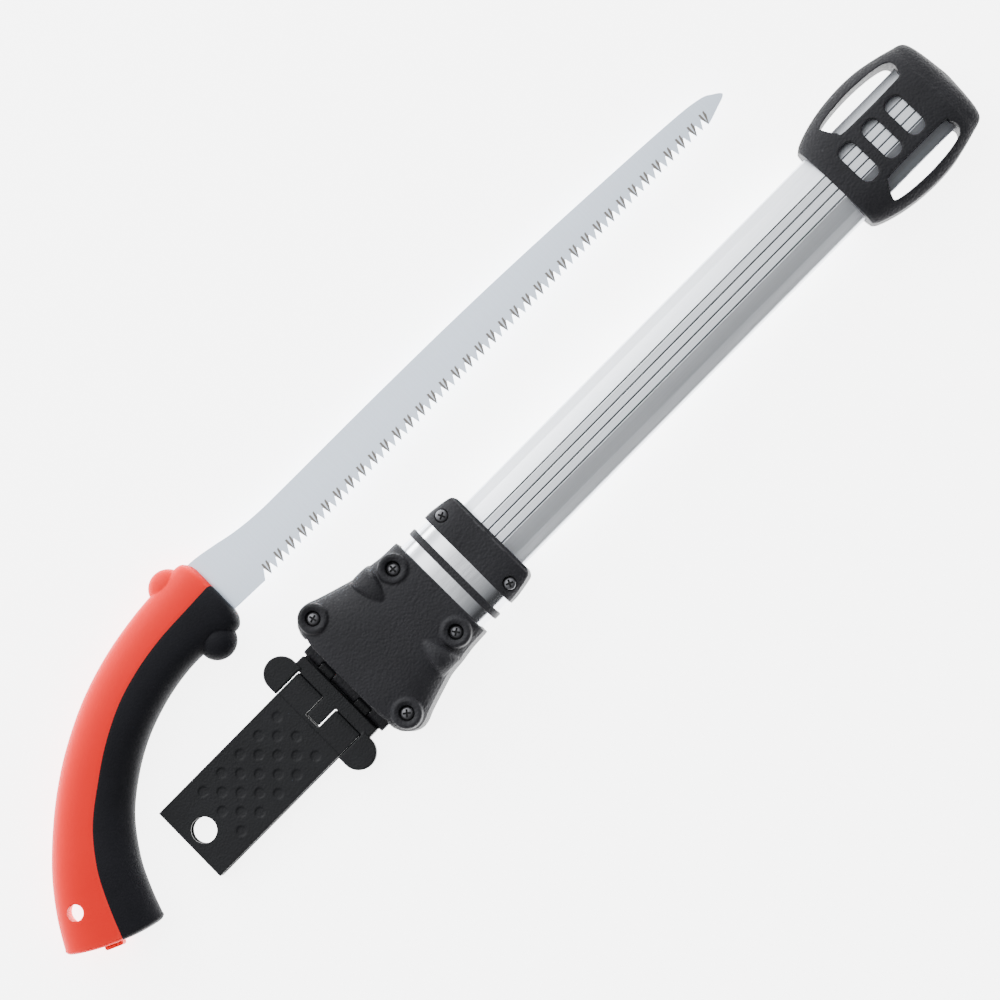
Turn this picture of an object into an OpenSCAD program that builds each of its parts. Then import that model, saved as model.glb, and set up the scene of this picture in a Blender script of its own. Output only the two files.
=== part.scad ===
// Straight-blade pruning saw lying beside its roller scabbard, which has a belt hanger.
// Millimetres. +X runs from the grip towards the blade's tip, +Y across, +Z up from the ground.
// The origin is under the middle of the whole set.

/* [Blade] */
// Length of the toothed edge
toothed_l = 300; // [280:4:304]
// Distance from one tooth to the next
tooth_pitch = 4; // [3:0.5:5]
// Height of a tooth above its gullet
tooth_h = 4.3; // [3:0.1:5]
// Thickness of the blade
blade_t = 1.5; // [1.2:0.1:2]
// Bare edge between the grip and the first tooth
heel_l = 23.6; // [20:0.2:25]

/* [Grip] */
// Thickness of the grip in the palm
grip_t = 26; // [25:0.5:28]
// Thickness of the grip's nose, which enters the scabbard's mouth
nose_t = 20; // [18:0.5:21]
// Radius of the two lobes that snap past the outer rollers
lobe_r = 9.6; // [9:0.1:10]
// Diameter of the lanyard hole
lanyard_d = 8; // [6:0.5:9]

/* [Scabbard] */
// Thickness of the mouth shells together
mouth_t = 32; // [30:0.5:34]
// Wall of the mouth shells
mouth_wall = 2.4; // [2:0.1:2.6]
// Radius of the rubber rollers
roller_r = 5.8; // [5:0.1:6]
// Width of the aluminium tube
tube_w = 40.2; // [38:0.2:41]
// Thickness of the aluminium tube
tube_t = 19.6; // [18:0.2:20.4]
// Wall of the aluminium tube
tube_wall = 1.4; // [1:0.1:1.8]
// Thickness of the tip cap
cap_t = 23.2; // [23.2:0.2:25]

/* [Hanger] */
// Width of the belt loop
loop_w = 41.6; // [38:0.2:42]
// Thickness of the loop's front and back layers
layer_t = 2.2; // [2:0.1:2.4]
// Room for the belt between the two layers
belt_gap = 4.6; // [4.4:0.1:5.2]
// Diameter of the hanging hole
hang_d = 12.5; // [10:0.5:13]

/* [Hidden] */
$fn = 64;
eps = 0.01;

// Where the saw and the scabbard lie. Each has its own axis along X.
saw_nose = [-121.75, 44.25, grip_t / 2];
mouth_edge = [-107.05, -31.15, mouth_t / 2];

// Blade outline, from the grip's nose and the saw's axis
tooth_n = floor(toothed_l / tooth_pitch);
teeth_end = heel_l + tooth_n * tooth_pitch;
tip_x = teeth_end + 12;
tooth_line = [-13.1, -10.8];
tang_l = 46;
spine = [
    [-40, 15], [-24, 16.8], [-8, 17.9], [2, 18.2], [14, 16.2], [26, 13.7], [40, 12.2], [60, 11.8],
    [tip_x * 0.37, 11.3], [tip_x * 0.55, 9.9], [tip_x * 0.73, 7.1], [tip_x * 0.91, 3.4],
    [tip_x - 10, 1], [tip_x - 3.5, -2], [tip_x, -4.9], [tip_x - 1.6, -6.5]];
tooth_shape = [[0.33, 0], [0.21, 0], [0.02, 1], [-0.08, 1]];
bolt_xy = [[-12, 7], [-34, 4]];
bolt_r = 2.5;
bolt_head_r = 4.2;
bolt_sink = 2.6;
insert_r = 3.5;
insert_top = 7.5;

// Grip outline as pairs of a point on the back and one on the palm side, butt first
grip_pairs = [
    [[-170, -71.4], [-124.6, -91.4]],
    [[-161.2, -56.2], [-119.6, -77.2]],
    [[-149.5, -40.8], [-113, -63.2]],
    [[-136, -27.2], [-101.5, -47.6]],
    [[-120, -13.9], [-87, -35.6]],
    [[-102, -2.1], [-72.5, -27.1]],
    [[-80, 8.6], [-58, -21.6]],
    [[-58, 15.5], [-44, -18.3]],
    [[-36, 19.4], [-30, -17]],
    [[-16, 20.9], [-15, -18]],
    [[-5, 21.3], [-5.5, -20.2]],
    [[-1, 18.6], [-1.2, -17.2]],
    [[0.6, 14], [0.4, -12.6]]];
// How far up from the palm side the colour seam runs, and the half thickness, at each pair
grip_seam = [0.4, 0.41, 0.43, 0.44, 0.43, 0.45, 0.48, 0.49, 0.5, 0.52, 0.55, 0.56, 0.57];
grip_half_t = [
    0.42, 0.47, 0.5, 0.5, 0.5, 0.5, 0.49, 0.47, 0.43, nose_t / grip_t / 2,
    nose_t / grip_t / 2, nose_t / grip_t / 2 - 0.03, nose_t / grip_t / 2 - 0.09];
grip_steps = 3;
grip_arc_n = 9;
lobe_pos = [[-15.4, 17], [-15.8, -17]];
lobe_t = 15;
lanyard_xy = [-151.5, -61.3];
// The lanyard hole widens below this height, so only its upper end is narrow
lanyard_relief_z = 5.3;
lanyard_relief_r = 6;
// How far the butt's middle stands out, and the small tab beside the colour seam
butt_bulge = 3;
butt_rows = 5;
tab_pos = [-150.3, -82.7, -3];
tab_size = [9, 5, 7];
tab_turn = -23.8;

// Mouth half width against distance from the mouth's edge
mouth_l = 62;
mouth_half = [
    [0, 30.8], [1.2, 34], [2.8, 36], [5, 37.9], [8.8, 39.4], [13, 38.9], [18, 36.9],
    [28, 33.7], [36, 31.4], [44, 30.6], [52, 29.5], [mouth_l, 29.1]];
mouth_cross_w = 41;
entry_half_w = 27;
// Swellings beside the inner rollers: middle, radius, and where they start across
bulge_at = [39, 11.1];
bulge_r = 4.9;
bulge_y = [18.7, 29];
bulge_floor = 11.4;
screw_clear_r = 1.75;
// Roller axles, from the mouth's edge and the scabbard's axis
outer_axle = [9.8, 31.1];
inner_axle = [52.5, 20.8];
boss_r = 7.4;
outer_boss_top = 14.9;
inner_boss_top = 15.7;
seat_r = 5.4;
recess_r = 3.6;
front_crown = 2.6;
back_crown = 6;
roller_gap = 0.4;
bush_r = 2.6;
running_fit = 0.05;
bush_end = 10.6;
seat_top = bush_end + 1.2;
head_r = 3.1;
head_h = 1.8;
nut_across = 6.3;
nut_h = 2.4;
nut_z = seat_top + 0.4;

// Sleeve, ring and collar
sleeve_x = [mouth_l - 3.2, 82.8];
sleeve_half = [26.7, 12.6];
sleeve_wall = 1.6;
ring_x = [69, 72.6];
ring_half = [28.4, 14.2];
collar_x = [79.6, 96.7];
collar_half = [[79.6, 28], [84, 27.9], [92, 26.5], [95.4, 25.3], [96.7, 23]];
collar_t = 26;
collar_screw = [85.9, 22.4];
collar_sink = 3.4;
collar_nut_across = 5.5;

// Tube and tip cap
tube_x = [85, 386];
tube_groove = [2.2, 6.5];
groove_r = 0.45;
cap_x = [324, 398.8];
cap_half = [
    [324, 24.2], [325.6, 25.6], [331, 27.8], [339, 30], [348, 31.5], [359, 32.2],
    [370, 31.6], [380, 29.6], [389, 27.2], [394, 25.6], [396.4, 22], [397.9, 14], [398.8, 0]];
cap_side = [
    [324, cap_t / 2 - 1], [332, cap_t / 2], [380, cap_t / 2], [390, cap_t / 2 - 1.2],
    [395.5, cap_t / 2 - 3.5], [398, cap_t / 2 - 6.5], [398.8, 4]];
slot_x = [340, 384];
slot_in = 14;
slot_rim = 5.6;
window_x = [339.3, 354.6, 369.9];
window_size = [9.6, 21.4];
window_r = 3.8;

// Hanger, from the mouth's edge: loop end, prong root, prong end and keeper
loop_x = -108.2;
prong_root = -28.2;
prong_end = -14.5;
prong_gap = 9.1;
strap_z = 0.4;
flap_z = strap_z + layer_t + belt_gap;
fold_z = strap_z + layer_t + belt_gap / 2;
fold_gap = 0.5;
hang_x = -98.4;
keeper_bar = [-14.1, -7.1];
keeper_half_w = 24.8;
tongue = [-25.3, 3.65];
ear_pos = [-20.8, 26.1];
ear_r = 8.5;
ear_in = loop_w / 2 + 0.5;
ear_t = 4.2;
ear_z = flap_z + layer_t - ear_t + 0.4;
lip_half_w = 26.5;
pin_x = -4.4;
pin_z = 2.9;
pin_r = 1.3;
pin_l = 50;
pin_knuckle_r = 2.3;
lug_y = [8, 16];
lug_r = 2.1;
lug_gap = 0.4;
dimple_pitch = [12.4, 6.5];

// ---------- helpers ----------

function curve(a, b, c, d, t) =
    0.5 * (2 * b + (c - a) * t + (2 * a - 5 * b + 4 * c - d) * t * t
        + (3 * b - a - 3 * c + d) * t * t * t);

// Smooth curve through a list of points or numbers, with n steps to each stretch
function smooth(p, n) = let (last = len(p) - 1) [
    for (i = [0:last - 1], k = [0:n - 1])
        curve(p[max(i - 1, 0)], p[i], p[i + 1], p[min(i + 2, last)], k / n),
    p[last]];

function reversed(p) = [for (i = [len(p) - 1:-1:0]) p[i]];
function flipped(p) = [for (q = reversed(p)) [q[0], -q[1]]];

// Closed outline from a half width curve, pulled in by wall
function both_sides(half, wall = 0, n = 4) =
    let (top = [for (q = smooth(half, n)) [q[0], max(q[1] - wall, 0)]])
    concat(top, flipped(top));

// Flattened oval with half width w and half height h; a higher power is squarer
function oval(w, h, power = 3, n = 48) = [
    for (i = [0:n - 1]) let (c = cos(360 * i / n), s = sin(360 * i / n))
        [w * sign(c) * pow(abs(c), 2 / power), h * sign(s) * pow(abs(s), 2 / power)]];

// Extrudes a Y-Z outline along X
module along_x(x0, x1) {
    translate([x0, 0, 0]) rotate([90, 0, 90]) linear_extrude(x1 - x0) children();
}

// Extrudes an X-Z outline along Y, both ways from the middle
module along_y(half_w) {
    rotate([90, 0, 0]) linear_extrude(2 * half_w, center = true) children();
}

// Places children in the saw's frame: nose of the grip, saw's axis, blade's middle plane
module at_saw() {
    translate(saw_nose) children();
}

// Places children in the scabbard's frame: mouth's edge, axis and middle plane
module at_scabbard() {
    translate(mouth_edge) children();
}

// Places children in the hanger's frame, whose heights are from the ground
module at_hanger() {
    translate([mouth_edge[0], mouth_edge[1], 0]) children();
}

module both_y() {
    children();
    mirror([0, 1, 0]) children();
}

// Closed solid through rings of equal length. The first ring may be curved in plan, and its two
// halves mirror each other in Z, so quads between the halves close it.
module loft(rings) {
    m = len(rings[0]);
    last = len(rings) - 1;
    polyhedron(
        points = [for (r = rings, p = r) p],
        faces = concat(
            [for (k = [0:m / 2 - 2]) [m - 1 - k, m - 2 - k, k + 1, k]],
            [for (i = [0:last - 1], k = [0:m - 1])
                [i * m + k, i * m + (k + 1) % m, (i + 1) * m + k]],
            [for (i = [0:last - 1], k = [0:m - 1])
                [i * m + (k + 1) % m, (i + 1) * m + (k + 1) % m, (i + 1) * m + k]],
            [[for (k = [0:m - 1]) last * m + k]]),
        convexity = 8);
}

// Box with rounded vertical edges
module round_box(size, r) {
    x = size[0] / 2 - r;
    y = size[1] / 2 - r;
    translate([0, 0, -size[2] / 2]) {
        for (sx = [-1, 1], sy = [-1, 1])
            translate([sx * x, sy * y, 0]) cylinder(r = r, h = size[2]);
        translate([-x, -size[1] / 2, 0]) cube([2 * x, size[1], size[2]]);
        translate([-size[0] / 2, -y, 0]) cube([size[0], 2 * y, size[2]]);
    }
}

// Domed cross-head screw along Z: its head's underside is at z = 0 and its shank ends at -l
module screw(l, r, head = head_r, rise = head_h) {
    slot_w = head * 0.32;
    difference() {
        union() {
            translate([0, 0, -l]) cylinder(r = r, h = l + eps);
            cylinder(r = head, h = rise * 0.6);
            translate([0, 0, rise * 0.6 - eps])
                cylinder(r1 = head, r2 = head * 0.72, h = rise * 0.4);
        }
        for (a = [0, 90]) rotate(a)
            translate([-head * 0.55, -slot_w / 2, rise * 0.35]) cube([head * 1.1, slot_w, rise]);
    }
}

// Hexagonal nut with its underside at z = 0
module nut(across, h, hole_r) {
    difference() {
        cylinder(d = across / cos(30), h = h, $fn = 6);
        translate([0, 0, -eps]) cylinder(r = hole_r, h = h + 2 * eps);
    }
}

// ---------- saw ----------

function tooth_y(x) =
    tooth_line[0] + (tooth_line[1] - tooth_line[0]) * (x - heel_l) / (teeth_end - heel_l);

blade_outline = concat(
    [[-tang_l, -6], [-tang_l, 11]],
    smooth(spine, 5),
    [[tip_x - 6, -7.9], [tip_x - 11.5, -9.8]],
    [for (i = [tooth_n - 1:-1:0], p = tooth_shape)
        let (x = heel_l + (i + p[0]) * tooth_pitch) [x, tooth_y(x) + p[1] * tooth_h]],
    [[heel_l - 3.4, -13.2], [heel_l - 12, -12.9], [-2, -12.4], [-tang_l + 8, -10]]);

module blade() color([0.79, 0.82, 0.86]) at_saw() {
    difference() {
        translate([0, 0, -blade_t / 2]) linear_extrude(blade_t) polygon(blade_outline);
        for (b = bolt_xy) translate([b[0], b[1], -blade_t])
            cylinder(r = bolt_r + 0.05, h = 2 * blade_t);
    }
}

grip_rows = smooth([for (p = grip_pairs) [p[0][0], p[0][1], p[1][0], p[1][1]]], grip_steps);
grip_seams = smooth(grip_seam, grip_steps);
grip_halves = smooth(grip_half_t, grip_steps);

// Half thickness of the grip's rounded section at u, which is -1 at the palm side and 1 at the back
function section_z(u) = pow(max(1 - pow(abs(u), 2.6), 0), 1 / 2.3);

// How far ring i, counted from the butt, is pushed out at the middle of its section
function butt_push(i) = butt_bulge * max(1 - i / butt_rows, 0);

// One ring of the grip between two heights u0 and u1 of its section
function grip_ring(row, half_t, u0, u1, push) =
    let (back = [row[0], row[1]], palm = [row[2], row[3]],
        mid = (back + palm) / 2, half = (back - palm) / 2,
        out = [-half[1], half[0]] / norm(half) * push,
        us = [for (k = [0:grip_arc_n]) let (a = 90 * k / grip_arc_n)
            u0 + (u1 - u0) * (u1 > 0.9 ? sin(a) : 1 - cos(a))],
        rim = [for (u = us) let (q = mid + half * u + out * (1 - u * u))
            [q[0], q[1], half_t * section_z(u)]],
        under = [for (k = [len(rim) - 1:-1:0]) [rim[k][0], rim[k][1], -rim[k][2]]])
    concat(rim, under);

module grip_part(upper) {
    loft([for (i = [0:len(grip_rows) - 1])
        let (u_seam = 2 * grip_seams[i] - 1, t = grip_halves[i] * grip_t)
        upper ? grip_ring(grip_rows[i], t, u_seam, 0.9999, butt_push(i))
            : grip_ring(grip_rows[i], t, -0.9999, u_seam, butt_push(i))]);
}

// Space for the tang and its two bolts
module tang_room() {
    translate([0, 0, -blade_t / 2]) linear_extrude(blade_t) polygon(blade_outline);
    for (b = bolt_xy) translate([b[0], b[1], -nose_t]) {
        cylinder(r = bolt_r + running_fit, h = nose_t);
        cylinder(r = bolt_head_r + 0.1, h = nose_t / 2 + bolt_sink);
    }
    for (b = bolt_xy) translate([b[0], b[1], 0]) cylinder(r = insert_r, h = insert_top);
}

module handle_core() color([0.88, 0.16, 0.13]) at_saw() {
    difference() {
        union() {
            grip_part(true);
            translate([lobe_pos[0][0], lobe_pos[0][1], -lobe_t / 2])
                cylinder(r = lobe_r, h = lobe_t);
            translate(tab_pos) rotate(tab_turn) cube(tab_size, center = true);
        }
        tang_room();
        translate([lanyard_xy[0], lanyard_xy[1], -grip_t]) {
            cylinder(d = lanyard_d, h = 2 * grip_t);
            cylinder(r = lanyard_relief_r, h = grip_t + lanyard_relief_z);
        }
    }
}

module soft_grip() color([0.13, 0.13, 0.15]) at_saw() {
    difference() {
        union() {
            grip_part(false);
            translate([lobe_pos[1][0], lobe_pos[1][1], -lobe_t / 2])
                cylinder(r = lobe_r, h = lobe_t);
        }
        tang_room();
    }
}

module blade_bolts() color([0.7, 0.71, 0.73]) at_saw() {
    for (b = bolt_xy) translate([b[0], b[1], -nose_t / 2 + bolt_sink])
        rotate([180, 0, 0]) screw(nose_t / 2 + 3.5, bolt_r, bolt_head_r, 2);
}

module blade_inserts() color([0.76, 0.6, 0.3]) at_saw() {
    for (b = bolt_xy) translate([b[0], b[1], blade_t / 2]) difference() {
        cylinder(r = insert_r, h = insert_top - blade_t / 2 - 0.15);
        translate([0, 0, -eps]) cylinder(r = bolt_r, h = 5.4);
    }
}

// ---------- scabbard mouth ----------

axles = [outer_axle, [outer_axle[0], -outer_axle[1]], inner_axle, [inner_axle[0], -inner_axle[1]]];
mouth_half_t = mouth_t / 2;

// Half thickness of the two shells along the mouth
front_side = [
    [0, mouth_half_t - 3], [6, mouth_half_t - 1.8], [20, mouth_half_t - 0.3],
    [30, mouth_half_t], [44, mouth_half_t - 0.5], [mouth_l, mouth_half_t - 1.4]];
back_side = [
    [0, mouth_half_t - 1], [3, mouth_half_t - 0.3], [8, mouth_half_t],
    [50, mouth_half_t], [mouth_l, mouth_half_t - 1.4]];

// Solid of both shells, pulled in by wall; a higher power makes a flatter crown
module mouth_body(wall, side, power) {
    intersection() {
        linear_extrude(2 * mouth_t, center = true) polygon(both_sides(mouth_half, wall));
        along_x(-1, mouth_l + 1) polygon(oval(mouth_cross_w - wall, mouth_half_t - wall, power));
        along_y(mouth_cross_w) polygon(both_sides(side, wall));
    }
}

// Columns round the roller axles, cut to the mouth's outline
module bosses() {
    intersection() {
        for (a = axles) {
            top = a[0] == outer_axle[0] ? outer_boss_top : inner_boss_top;
            translate([a[0], a[1], -top]) cylinder(r = boss_r, h = 2 * top);
        }
        linear_extrude(2 * mouth_t, center = true) polygon(both_sides(mouth_half));
    }
}

// Room inside the mouth, less the seats that hold the bushes
module mouth_cavity(side, power) {
    difference() {
        union() {
            intersection() {
                mouth_body(mouth_wall, side, power);
                translate([-5, -50, -50]) cube([mouth_l + 2, 100, 100]);
            }
            for (a = axles) translate([a[0], a[1], -bush_end])
                cylinder(r = roller_r + roller_gap, h = 2 * bush_end);
        }
        for (a = axles, s = [-1, 1]) translate([a[0], a[1], s * (bush_end + 5)])
            cylinder(r = seat_r, h = 10, center = true);
    }
}

// Whole mouth in the shape that one shell keeps its half of
module mouth_shells(side, power) {
    difference() {
        union() {
            mouth_body(0, side, power);
            bosses();
        }
        mouth_cavity(side, power);
        translate([-1, -entry_half_w, -bush_end]) cube([4, 2 * entry_half_w, 2 * bush_end]);
        along_x(sleeve_x[0], mouth_l + 1) polygon(oval(sleeve_half[0], sleeve_half[1]));
        along_x(mouth_l - 12, mouth_l)
            polygon(oval(sleeve_half[0] - sleeve_wall, sleeve_half[1] - sleeve_wall));
        for (a = axles) translate([a[0], a[1], 0]) {
            cylinder(r = screw_clear_r, h = 2 * mouth_t, center = true);
            translate([0, 0, seat_top]) cylinder(r = recess_r, h = mouth_t);
            translate([0, 0, -nut_z - mouth_t])
                cylinder(d = (nut_across + 0.1) / cos(30), h = mouth_t, $fn = 6);
        }
    }
}

// Swellings beside the inner rollers
module mouth_bulges() {
    both_y() intersection() {
        union() {
            translate([bulge_at[0], bulge_y[0], bulge_at[1]]) sphere(r = bulge_r);
            translate([bulge_at[0], bulge_y[0], bulge_at[1]]) rotate([-90, 0, 0])
                cylinder(r = bulge_r, h = bulge_y[1] - bulge_y[0]);
        }
        translate([bulge_at[0] - 10, 0, bulge_floor]) cube([20, 40, 10]);
    }
}

module mouth_front() color([0.17, 0.17, 0.19]) at_scabbard() {
    intersection() {
        mouth_shells(front_side, front_crown);
        translate([-1, -50, 0]) cube([mouth_l + 2, 100, 50]);
    }
    mouth_bulges();
}

module mouth_back() color([0.15, 0.15, 0.17]) at_scabbard() {
    intersection() {
        mouth_shells(back_side, back_crown);
        translate([-1, -50, -50]) cube([mouth_l + 2, 100, 50]);
    }
    translate([0, 0, -mouth_half_t]) socket_lip();
}

// Lip on the back shell that the hanger's two lugs turn in
module socket_lip() {
    r = pin_knuckle_r;
    difference() {
        union() {
            translate([pin_x, 0, pin_z]) rotate([90, 0, 0])
                cylinder(r = r, h = 2 * lip_half_w, center = true);
            translate([pin_x, -lip_half_w, pin_z - r]) cube([3 - pin_x, 2 * lip_half_w, 2 * r]);
        }
        both_y() translate([pin_x - r - 1, lug_y[0] - lug_gap, pin_z - r - 1])
            cube([2 * r + 1.6, lug_y[1] - lug_y[0] + 2 * lug_gap, 2 * r + 2]);
        translate([pin_x, 0, pin_z]) rotate([90, 0, 0])
            cylinder(r = pin_r, h = pin_l, center = true);
    }
}

module hanger_pin() color([0.72, 0.73, 0.75]) at_hanger() {
    translate([pin_x, 0, pin_z]) rotate([90, 0, 0]) cylinder(r = pin_r, h = pin_l, center = true);
}

module roller_screws() color([0.75, 0.76, 0.78]) at_scabbard() {
    for (a = axles) translate([a[0], a[1], seat_top])
        screw(2 * bush_end + 3.6, screw_clear_r - 0.05);
}

module roller_bushes() color([0.72, 0.73, 0.75]) at_scabbard() {
    for (a = axles) translate([a[0], a[1], -bush_end]) difference() {
        cylinder(r = bush_r, h = 2 * bush_end);
        translate([0, 0, -1]) cylinder(r = screw_clear_r, h = 2 * bush_end + 2);
    }
}

module roller_nuts() color([0.72, 0.73, 0.75]) at_scabbard() {
    for (a = axles) translate([a[0], a[1], -nut_z - nut_h])
        nut(nut_across, nut_h, screw_clear_r - 0.05);
}

// Rubber roller with rounded rims, on a running fit over its bush
module roller(a) {
    half_l = bush_end - roller_gap;
    rim = 1.2;
    at_scabbard() translate([a[0], a[1], 0]) rotate_extrude() difference() {
        union() {
            translate([0, -half_l]) square([roller_r - rim, 2 * half_l]);
            translate([0, -half_l + rim]) square([roller_r, 2 * (half_l - rim)]);
            for (s = [-1, 1]) translate([roller_r - rim, s * (half_l - rim)]) circle(rim);
        }
        translate([-roller_r, -mouth_t]) square([roller_r + bush_r + running_fit, 2 * mouth_t]);
    }
}

module outer_roller_left() color([0.1, 0.1, 0.11]) roller(axles[0]);
module outer_roller_right() color([0.1, 0.1, 0.11]) roller(axles[1]);
module inner_roller_left() color([0.1, 0.1, 0.11]) roller(axles[2]);
module inner_roller_right() color([0.1, 0.1, 0.11]) roller(axles[3]);

// ---------- sleeve, collar, tube and cap ----------

module joint_sleeve() color([0.86, 0.87, 0.89]) at_scabbard() {
    difference() {
        along_x(sleeve_x[0], sleeve_x[1]) polygon(oval(sleeve_half[0], sleeve_half[1]));
        along_x(sleeve_x[0] - 1, sleeve_x[1] + 1)
            polygon(oval(sleeve_half[0] - sleeve_wall, sleeve_half[1] - sleeve_wall));
    }
}

module sleeve_ring() color([0.2, 0.2, 0.22]) at_scabbard() {
    difference() {
        along_x(ring_x[0], ring_x[1]) polygon(oval(ring_half[0], ring_half[1]));
        along_x(ring_x[0] - 1, ring_x[1] + 1) polygon(oval(sleeve_half[0], sleeve_half[1]));
    }
}

module collar_halves() {
    difference() {
        intersection() {
            linear_extrude(collar_t, center = true) polygon(both_sides(collar_half));
            along_x(collar_x[0], collar_x[1]) polygon(oval(29, collar_t / 2, 3.6));
        }
        along_x(collar_x[0] - 1, sleeve_x[1]) polygon(oval(sleeve_half[0], sleeve_half[1]));
        along_x(tube_x[0], collar_x[1] + 1) polygon(tube_outline(0));
        along_x(collar_x[0], tube_x[0] + 1) polygon(tube_outline(tube_wall));
        both_y() translate([collar_screw[0], collar_screw[1], 0]) {
            translate([0, 0, -collar_t]) cylinder(r = 1.5, h = 2 * collar_t);
            translate([0, 0, collar_t / 2 - collar_sink]) cylinder(r = 3.5, h = 10);
            translate([0, 0, 2.4 - collar_t / 2 - 10])
                cylinder(d = (collar_nut_across + 0.1) / cos(30), h = 10, $fn = 6);
        }
    }
}

module collar_front() color([0.18, 0.18, 0.2]) at_scabbard() {
    intersection() {
        collar_halves();
        translate([0, -50, 0]) cube([200, 100, 50]);
    }
}

module collar_back() color([0.18, 0.18, 0.2]) at_scabbard() {
    intersection() {
        collar_halves();
        translate([0, -50, -50]) cube([200, 100, 50]);
    }
}

module collar_screws() color([0.75, 0.76, 0.78]) at_scabbard() {
    both_y() translate([collar_screw[0], collar_screw[1], collar_t / 2 - collar_sink])
        screw(collar_t - collar_sink - 1.8, 1.45, 3);
}

module collar_nuts() color([0.72, 0.73, 0.75]) at_scabbard() {
    both_y() translate([collar_screw[0], collar_screw[1], 0.2 - collar_t / 2])
        nut(collar_nut_across, 2.2, 1.45);
}

// Half of the tube's section from its side to its crown, with small grooves near the middle
function tube_quarter(wall) =
    let (w = tube_w / 2 - wall, h = tube_t / 2 - wall)
    concat(
        smooth([[w, 0], [w - 0.6, 2.2], [w - 2.6, 3.9], [w - 6, h * 0.66]], 3),
        [[tube_groove[1] + groove_r * 2, h - 0.3]],
        wall > 0 ? [[0, h]] : [for (g = reversed(tube_groove), p = [[1, 0], [0, -1], [-1, 0]])
            [g + p[0] * groove_r, h + p[1] * groove_r]]);

function tube_outline(wall) =
    let (q = tube_quarter(wall), left = [for (p = reversed(q)) [-p[0], p[1]]],
        top = concat(q, left))
    concat(top, [for (p = reversed(top)) [p[0], -p[1]]]);

module scabbard_tube() color([0.8, 0.82, 0.85]) at_scabbard() {
    difference() {
        along_x(tube_x[0], tube_x[1]) polygon(tube_outline(0));
        along_x(tube_x[0] - 1, tube_x[1] + 1) polygon(tube_outline(tube_wall));
    }
}

// Through slot for a leg strap, beside the tube
module strap_slot() {
    mid = (slot_x[0] + slot_x[1]) / 2;
    half_l = (slot_x[1] - slot_x[0]) / 2;
    rim_r = 92;
    peak = cap_half[5][1] - slot_rim;
    intersection() {
        translate([mid, peak - rim_r, -cap_t]) cylinder(r = rim_r, h = 2 * cap_t, $fn = 180);
        translate([mid, slot_in + 12, 0]) round_box([2 * half_l, 24, 2 * cap_t], 5);
    }
}

module tip_cap() color([0.17, 0.17, 0.19]) at_scabbard() {
    difference() {
        intersection() {
            linear_extrude(2 * cap_t, center = true) polygon(both_sides(cap_half));
            along_x(cap_x[0] - 1, cap_x[1] + 1) polygon(oval(34, cap_t / 2, 3.2));
            along_y(50) polygon(both_sides(cap_side));
        }
        along_x(cap_x[0] - 1, tube_x[1]) polygon(tube_outline(0));
        both_y() strap_slot();
        for (x = window_x) translate([x, 0, cap_t / 2])
            round_box([window_size[0], window_size[1], cap_t], window_r);
    }
}

// ---------- belt hanger ----------

// Plan of one layer of the loop: full width to the prong root, then two prongs
module layer(x_end) {
    difference() {
        translate([loop_x, -loop_w / 2, 0]) cube([x_end - loop_x, loop_w, layer_t]);
        translate([prong_root + 2, -prong_gap / 2, -1]) cube([60, prong_gap, layer_t + 2]);
        translate([hang_x, 0, -1]) cylinder(d = hang_d, h = layer_t + 2);
    }
}

module hanger_strap() color([0.16, 0.16, 0.18]) at_hanger() {
    translate([0, 0, strap_z]) layer(keeper_bar[1]);
    translate([loop_x, -loop_w / 2, strap_z + layer_t - eps])
        cube([layer_t, loop_w, (belt_gap - fold_gap) / 2 + eps]);
}

module hanger_flap() color([0.18, 0.18, 0.2]) at_hanger() {
    difference() {
        translate([0, 0, flap_z]) layer(prong_end);
        for (i = [0:4], j = [-2:2])
            translate([-86 + i * dimple_pitch[0] + (abs(j) % 2) * dimple_pitch[0] / 2,
                j * dimple_pitch[1], flap_z + layer_t + 7.2]) sphere(r = 7.5);
    }
    translate([loop_x, -loop_w / 2, fold_z + fold_gap / 2])
        cube([layer_t, loop_w, (belt_gap - fold_gap) / 2 + eps]);
}

module hanger_keeper() color([0.19, 0.2, 0.22]) at_hanger() {
    bar_l = keeper_bar[1] - keeper_bar[0];
    translate([keeper_bar[0], -keeper_half_w, strap_z + layer_t])
        cube([bar_l, 2 * keeper_half_w, belt_gap + layer_t]);
    translate([tongue[0], -tongue[1], flap_z])
        cube([keeper_bar[0] - tongue[0] + eps, 2 * tongue[1], layer_t]);
    both_y() difference() {
        union() {
            translate([pin_x, lug_y[0], pin_z]) rotate([-90, 0, 0])
                cylinder(r = lug_r, h = lug_y[1] - lug_y[0]);
            translate([keeper_bar[1] - eps, lug_y[0], strap_z + layer_t])
                cube([pin_x - keeper_bar[1], lug_y[1] - lug_y[0], pin_z + lug_r - strap_z - layer_t]);
        }
        translate([pin_x, 0, pin_z]) rotate([90, 0, 0])
            cylinder(r = pin_r + running_fit, h = pin_l, center = true);
    }
    both_y() intersection() {
        union() {
            translate([ear_pos[0], ear_pos[1], ear_z]) cylinder(r = ear_r, h = ear_t);
            translate([ear_pos[0] - ear_r, 0, ear_z]) cube([2 * ear_r, ear_pos[1], ear_t]);
        }
        translate([ear_pos[0] - 20, ear_in, 0]) cube([60, 40, 40]);
    }
}

blade();
handle_core();
soft_grip();
blade_bolts();
blade_inserts();
mouth_front();
mouth_back();
roller_screws();
roller_bushes();
roller_nuts();
outer_roller_left();
outer_roller_right();
inner_roller_left();
inner_roller_right();
joint_sleeve();
sleeve_ring();
collar_front();
collar_back();
collar_screws();
collar_nuts();
scabbard_tube();
tip_cap();
hanger_pin();
hanger_keeper();
hanger_strap();
hanger_flap();
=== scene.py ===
"""Looks of the pruning saw and its roller scabbard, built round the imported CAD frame."""

import math

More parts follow.
